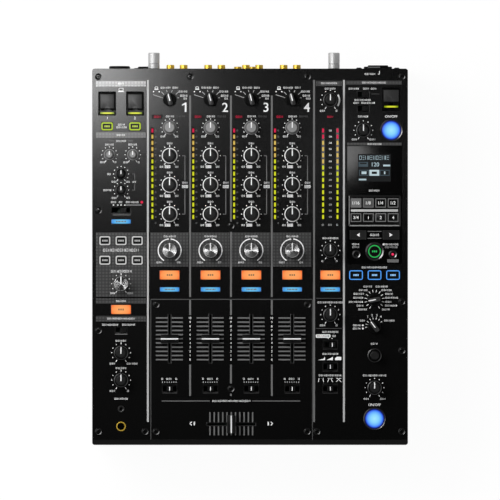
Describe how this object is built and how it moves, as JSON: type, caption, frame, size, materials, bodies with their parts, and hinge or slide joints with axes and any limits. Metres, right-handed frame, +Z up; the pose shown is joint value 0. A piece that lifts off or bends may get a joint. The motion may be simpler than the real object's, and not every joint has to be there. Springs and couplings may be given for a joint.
{
  "type": "dj mixer",
  "caption": "Four-channel club mixer in a flat black steel case with knobs, faders, lit keys, a small display and rear audio sockets.",
  "frame": {"origin": "on the table, under the middle of the whole outline", "axes": "+X to the user's right, +Y to the rear, +Z up"},
  "size_m": [0.333, 0.4142, 0.1079],
  "materials": {
    "chassis_paint": "satin black powder coat",
    "panel_paint": "fine satin black",
    "foot_rubber": "matt black rubber",
    "black_screw": "black oxide",
    "display_gloss": "polished black",
    "circuit_board": "green solder mask",
    "socket_metal": "gold plated contacts in black housings",
    "orange_lens": "lit orange lens",
    "blue_lens": "lit blue lens",
    "dark_key": "dark keys with lit rims",
    "switch_plastic": "black",
    "cover_plastic": "dark grey",
    "fader_plastic": "black with a white line",
    "metal_dial": "spun aluminium top on a black grip",
    "knob_rubber": "soft black grip with a white pointer"
  },
  "bodies": {
    "mixer_body": {"chassis": "chassis_paint", "top_panel": "panel_paint", "fader_plate": "panel_paint", "rubber_feet": "foot_rubber", "panel_screws": "black_screw", "display_and_meter_lenses": "display_gloss", "control_boards": "circuit_board", "sockets": "socket_metal"},
    "source_selector_1": {"source_selector_1": "knob_rubber"},
    "trim_knob_1": {"trim_knob_1": "knob_rubber"},
    "high_knob_1": {"high_knob_1": "knob_rubber"},
    "middle_knob_1": {"middle_knob_1": "knob_rubber"},
    "low_knob_1": {"low_knob_1": "knob_rubber"},
    "colour_knob_1": {"colour_knob_1": "metal_dial"},
    "source_selector_2": {"source_selector_2": "knob_rubber"},
    "trim_knob_2": {"trim_knob_2": "knob_rubber"},
    "high_knob_2": {"high_knob_2": "knob_rubber"},
    "middle_knob_2": {"middle_knob_2": "knob_rubber"},
    "low_knob_2": {"low_knob_2": "knob_rubber"},
    "colour_knob_2": {"colour_knob_2": "metal_dial"},
    "source_selector_3": {"source_selector_3": "knob_rubber"},
    "trim_knob_3": {"trim_knob_3": "knob_rubber"},
    "high_knob_3": {"high_knob_3": "knob_rubber"},
    "middle_knob_3": {"middle_knob_3": "knob_rubber"},
    "low_knob_3": {"low_knob_3": "knob_rubber"},
    "colour_knob_3": {"colour_knob_3": "metal_dial"},
    "source_selector_4": {"source_selector_4": "knob_rubber"},
    "trim_knob_4": {"trim_knob_4": "knob_rubber"},
    "high_knob_4": {"high_knob_4": "knob_rubber"},
    "middle_knob_4": {"middle_knob_4": "knob_rubber"},
    "low_knob_4": {"low_knob_4": "knob_rubber"},
    "colour_knob_4": {"colour_knob_4": "metal_dial"},
    "mic_level_knob_1": {"mic_level_knob_1": "knob_rubber"},
    "mic_level_knob_2": {"mic_level_knob_2": "knob_rubber"},
    "mic_high_knob": {"mic_high_knob": "knob_rubber"},
    "mic_low_knob": {"mic_low_knob": "knob_rubber"},
    "parameter_knob": {"parameter_knob": "metal_dial"},
    "headphone_mix_knob": {"headphone_mix_knob": "knob_rubber"},
    "headphone_level_knob": {"headphone_level_knob": "knob_rubber"},
    "master_level_knob": {"master_level_knob": "knob_rubber"},
    "balance_knob": {"balance_knob": "knob_rubber"},
    "booth_level_knob": {"booth_level_knob": "knob_rubber"},
    "send_level_knob": {"send_level_knob": "knob_rubber"},
    "effect_selector": {"effect_selector": "knob_rubber"},
    "effect_channel_selector": {"effect_channel_selector": "knob_rubber"},
    "time_knob": {"time_knob": "knob_rubber"},
    "depth_knob": {"depth_knob": "knob_rubber"},
    "channel_fader_1": {"channel_fader_1": "fader_plastic"},
    "channel_fader_2": {"channel_fader_2": "fader_plastic"},
    "channel_fader_3": {"channel_fader_3": "fader_plastic"},
    "channel_fader_4": {"channel_fader_4": "fader_plastic"},
    "crossfader": {"crossfader": "fader_plastic"},
    "cue_buttons": {"cue_buttons": "orange_lens"},
    "assign_buttons": {"assign_buttons": "blue_lens"},
    "key_buttons": {"key_buttons": "dark_key"},
    "three_way_switches": {"three_way_switches": "switch_plastic"},
    "two_way_switches": {"two_way_switches": "switch_plastic"},
    "usb_covers": {"usb_covers": "cover_plastic"},
    "aux_usb_cover": {"aux_usb_cover": "cover_plastic"},
    "power_switch": {"power_switch": "switch_plastic"}
  },
  "joints": [
    {"name": "source_selector_1_turn", "type": "hinge", "parent": "mixer_body", "child": "source_selector_1", "pos_m": [-0.0848, 0.157, 0.091], "axis": [0, 0, 1], "range_deg": [-75, 45]},
    {"name": "trim_knob_1_turn", "type": "hinge", "parent": "mixer_body", "child": "trim_knob_1", "pos_m": [-0.0848, 0.1277, 0.091], "axis": [0, 0, 1], "range_deg": [-150, 150]},
    {"name": "high_knob_1_turn", "type": "hinge", "parent": "mixer_body", "child": "high_knob_1", "pos_m": [-0.0848, 0.098, 0.091], "axis": [0, 0, 1], "range_deg": [-150, 150]},
    {"name": "middle_knob_1_turn", "type": "hinge", "parent": "mixer_body", "child": "middle_knob_1", "pos_m": [-0.0848, 0.0672, 0.091], "axis": [0, 0, 1], "range_deg": [-150, 150]},
    {"name": "low_knob_1_turn", "type": "hinge", "parent": "mixer_body", "child": "low_knob_1", "pos_m": [-0.0848, 0.0364, 0.091], "axis": [0, 0, 1], "range_deg": [-150, 150]},
    {"name": "colour_knob_1_turn", "type": "hinge", "parent": "mixer_body", "child": "colour_knob_1", "pos_m": [-0.0848, -0.0019, 0.091], "axis": [0, 0, 1], "range_deg": [-150, 150]},
    {"name": "source_selector_2_turn", "type": "hinge", "parent": "mixer_body", "child": "source_selector_2", "pos_m": [-0.0417, 0.157, 0.091], "axis": [0, 0, 1], "range_deg": [-75, 45]},
    {"name": "trim_knob_2_turn", "type": "hinge", "parent": "mixer_body", "child": "trim_knob_2", "pos_m": [-0.0417, 0.1277, 0.091], "axis": [0, 0, 1], "range_deg": [-150, 150]},
    {"name": "high_knob_2_turn", "type": "hinge", "parent": "mixer_body", "child": "high_knob_2", "pos_m": [-0.0417, 0.098, 0.091], "axis": [0, 0, 1], "range_deg": [-150, 150]},
    {"name": "middle_knob_2_turn", "type": "hinge", "parent": "mixer_body", "child": "middle_knob_2", "pos_m": [-0.0417, 0.0672, 0.091], "axis": [0, 0, 1], "range_deg": [-150, 150]},
    {"name": "low_knob_2_turn", "type": "hinge", "parent": "mixer_body", "child": "low_knob_2", "pos_m": [-0.0417, 0.0364, 0.091], "axis": [0, 0, 1], "range_deg": [-150, 150]},
    {"name": "colour_knob_2_turn", "type": "hinge", "parent": "mixer_body", "child": "colour_knob_2", "pos_m": [-0.0417, -0.0019, 0.091], "axis": [0, 0, 1], "range_deg": [-150, 150]},
    {"name": "source_selector_3_turn", "type": "hinge", "parent": "mixer_body", "child": "source_selector_3", "pos_m": [0.0014, 0.157, 0.091], "axis": [0, 0, 1], "range_deg": [-75, 45]},
    {"name": "trim_knob_3_turn", "type": "hinge", "parent": "mixer_body", "child": "trim_knob_3", "pos_m": [0.0014, 0.1277, 0.091], "axis": [0, 0, 1], "range_deg": [-150, 150]},
    {"name": "high_knob_3_turn", "type": "hinge", "parent": "mixer_body", "child": "high_knob_3", "pos_m": [0.0014, 0.098, 0.091], "axis": [0, 0, 1], "range_deg": [-150, 150]},
    {"name": "middle_knob_3_turn", "type": "hinge", "parent": "mixer_body", "child": "middle_knob_3", "pos_m": [0.0014, 0.0672, 0.091], "axis": [0, 0, 1], "range_deg": [-150, 150]},
    {"name": "low_knob_3_turn", "type": "hinge", "parent": "mixer_body", "child": "low_knob_3", "pos_m": [0.0014, 0.0364, 0.091], "axis": [0, 0, 1], "range_deg": [-150, 150]},
    {"name": "colour_knob_3_turn", "type": "hinge", "parent": "mixer_body", "child": "colour_knob_3", "pos_m": [0.0014, -0.0019, 0.091], "axis": [0, 0, 1], "range_deg": [-150, 150]},
    {"name": "source_selector_4_turn", "type": "hinge", "parent": "mixer_body", "child": "source_selector_4", "pos_m": [0.0445, 0.157, 0.091], "axis": [0, 0, 1], "range_deg": [-75, 45]},
    {"name": "trim_knob_4_turn", "type": "hinge", "parent": "mixer_body", "child": "trim_knob_4", "pos_m": [0.0445, 0.1277, 0.091], "axis": [0, 0, 1], "range_deg": [-150, 150]},
    {"name": "high_knob_4_turn", "type": "hinge", "parent": "mixer_body", "child": "high_knob_4", "pos_m": [0.0445, 0.098, 0.091], "axis": [0, 0, 1], "range_deg": [-150, 150]},
    {"name": "middle_knob_4_turn", "type": "hinge", "parent": "mixer_body", "child": "middle_knob_4", "pos_m": [0.0445, 0.0672, 0.091], "axis": [0, 0, 1], "range_deg": [-150, 150]},
    {"name": "low_knob_4_turn", "type": "hinge", "parent": "mixer_body", "child": "low_knob_4", "pos_m": [0.0445, 0.0364, 0.091], "axis": [0, 0, 1], "range_deg": [-150, 150]},
    {"name": "colour_knob_4_turn", "type": "hinge", "parent": "mixer_body", "child": "colour_knob_4", "pos_m": [0.0445, -0.0019, 0.091], "axis": [0, 0, 1], "range_deg": [-150, 150]},
    {"name": "mic_level_knob_1_turn", "type": "hinge", "parent": "mixer_body", "child": "mic_level_knob_1", "pos_m": [-0.14835, 0.0991, 0.091], "axis": [0, 0, 1], "range_deg": [-150, 150]},
    {"name": "mic_level_knob_2_turn", "type": "hinge", "parent": "mixer_body", "child": "mic_level_knob_2", "pos_m": [-0.12375, 0.0991, 0.091], "axis": [0, 0, 1], "range_deg": [-150, 150]},
    {"name": "mic_high_knob_turn", "type": "hinge", "parent": "mixer_body", "child": "mic_high_knob", "pos_m": [-0.13605, 0.0788, 0.091], "axis": [0, 0, 1], "range_deg": [-150, 150]},
    {"name": "mic_low_knob_turn", "type": "hinge", "parent": "mixer_body", "child": "mic_low_knob", "pos_m": [-0.13605, 0.0618, 0.091], "axis": [0, 0, 1], "range_deg": [-150, 150]},
    {"name": "parameter_knob_turn", "type": "hinge", "parent": "mixer_body", "child": "parameter_knob", "pos_m": [-0.13605, -0.037, 0.091], "axis": [0, 0, 1], "range_deg": [-150, 150]},
    {"name": "headphone_mix_knob_turn", "type": "hinge", "parent": "mixer_body", "child": "headphone_mix_knob", "pos_m": [-0.13605, -0.1099, 0.091], "axis": [0, 0, 1], "range_deg": [-150, 150]},
    {"name": "headphone_level_knob_turn", "type": "hinge", "parent": "mixer_body", "child": "headphone_level_knob", "pos_m": [-0.13605, -0.1387, 0.091], "axis": [0, 0, 1], "range_deg": [-150, 150]},
    {"name": "master_level_knob_turn", "type": "hinge", "parent": "mixer_body", "child": "master_level_knob", "pos_m": [0.08465, 0.157, 0.091], "axis": [0, 0, 1], "range_deg": [-150, 150]},
    {"name": "balance_knob_turn", "type": "hinge", "parent": "mixer_body", "child": "balance_knob", "pos_m": [0.08465, -0.0019, 0.091], "axis": [0, 0, 1], "range_deg": [-150, 150]},
    {"name": "booth_level_knob_turn", "type": "hinge", "parent": "mixer_body", "child": "booth_level_knob", "pos_m": [0.08465, -0.0696, 0.091], "axis": [0, 0, 1], "range_deg": [-150, 150]},
    {"name": "send_level_knob_turn", "type": "hinge", "parent": "mixer_body", "child": "send_level_knob", "pos_m": [0.1195, 0.1249, 0.091], "axis": [0, 0, 1], "range_deg": [-150, 150]},
    {"name": "effect_selector_turn", "type": "hinge", "parent": "mixer_body", "child": "effect_selector", "pos_m": [0.1313, -0.0539, 0.091], "axis": [0, 0, 1], "range_deg": [-251, 49]},
    {"name": "effect_channel_selector_turn", "type": "hinge", "parent": "mixer_body", "child": "effect_channel_selector", "pos_m": [0.1313, -0.0823, 0.091], "axis": [0, 0, 1], "range_deg": [-172, 98]},
    {"name": "time_knob_turn", "type": "hinge", "parent": "mixer_body", "child": "time_knob", "pos_m": [0.1313, -0.1126, 0.091], "axis": [0, 0, 1], "continuous": true},
    {"name": "depth_knob_turn", "type": "hinge", "parent": "mixer_body", "child": "depth_knob", "pos_m": [0.1313, -0.1467, 0.091], "axis": [0, 0, 1], "range_deg": [-150, 150]},
    {"name": "channel_fader_1_slide", "type": "slide", "parent": "mixer_body", "child": "channel_fader_1", "axis": [0, 1, 0], "range_m": [-0.0225, 0.0225]},
    {"name": "channel_fader_2_slide", "type": "slide", "parent": "mixer_body", "child": "channel_fader_2", "axis": [0, 1, 0], "range_m": [-0.0225, 0.0225]},
    {"name": "channel_fader_3_slide", "type": "slide", "parent": "mixer_body", "child": "channel_fader_3", "axis": [0, 1, 0], "range_m": [-0.0225, 0.0225]},
    {"name": "channel_fader_4_slide", "type": "slide", "parent": "mixer_body", "child": "channel_fader_4", "axis": [0, 1, 0], "range_m": [-0.0225, 0.0225]},
    {"name": "crossfader_slide", "type": "slide", "parent": "mixer_body", "child": "crossfader", "axis": [1, 0, 0], "range_m": [-0.0225, 0.0225]},
    {"name": "cue_press", "type": "slide", "parent": "mixer_body", "child": "cue_buttons", "axis": [0, 0, -1], "range_m": [0, 0.001], "stiffness_N_per_m": 2000, "springref_m": -0.001},
    {"name": "assign_press", "type": "slide", "parent": "mixer_body", "child": "assign_buttons", "axis": [0, 0, -1], "range_m": [0, 0.001], "stiffness_N_per_m": 2000, "springref_m": -0.001},
    {"name": "key_press", "type": "slide", "parent": "mixer_body", "child": "key_buttons", "axis": [0, 0, -1], "range_m": [0, 0.001], "stiffness_N_per_m": 2000, "springref_m": -0.001},
    {"name": "three_way_slide", "type": "slide", "parent": "mixer_body", "child": "three_way_switches", "axis": [1, 0, 0], "range_m": [-0.004, 0.004]},
    {"name": "two_way_slide", "type": "slide", "parent": "mixer_body", "child": "two_way_switches", "axis": [1, 0, 0], "range_m": [-0.0042, 0]},
    {"name": "usb_covers_lift", "type": "hinge", "parent": "mixer_body", "child": "usb_covers", "pos_m": [-0.15075, 0.1635, 0.0898], "axis": [-1, 0, 0], "range_deg": [0, 100]},
    {"name": "aux_usb_cover_lift", "type": "hinge", "parent": "mixer_body", "child": "aux_usb_cover", "pos_m": [0.1489, 0.168, 0.0898], "axis": [-1, 0, 0], "range_deg": [0, 100]},
    {"name": "power_switch_rock", "type": "hinge", "parent": "mixer_body", "child": "power_switch", "pos_m": [0.131, 0.1849, 0.066], "axis": [1, 0, 0], "range_deg": [0, 16]}
  ]
}
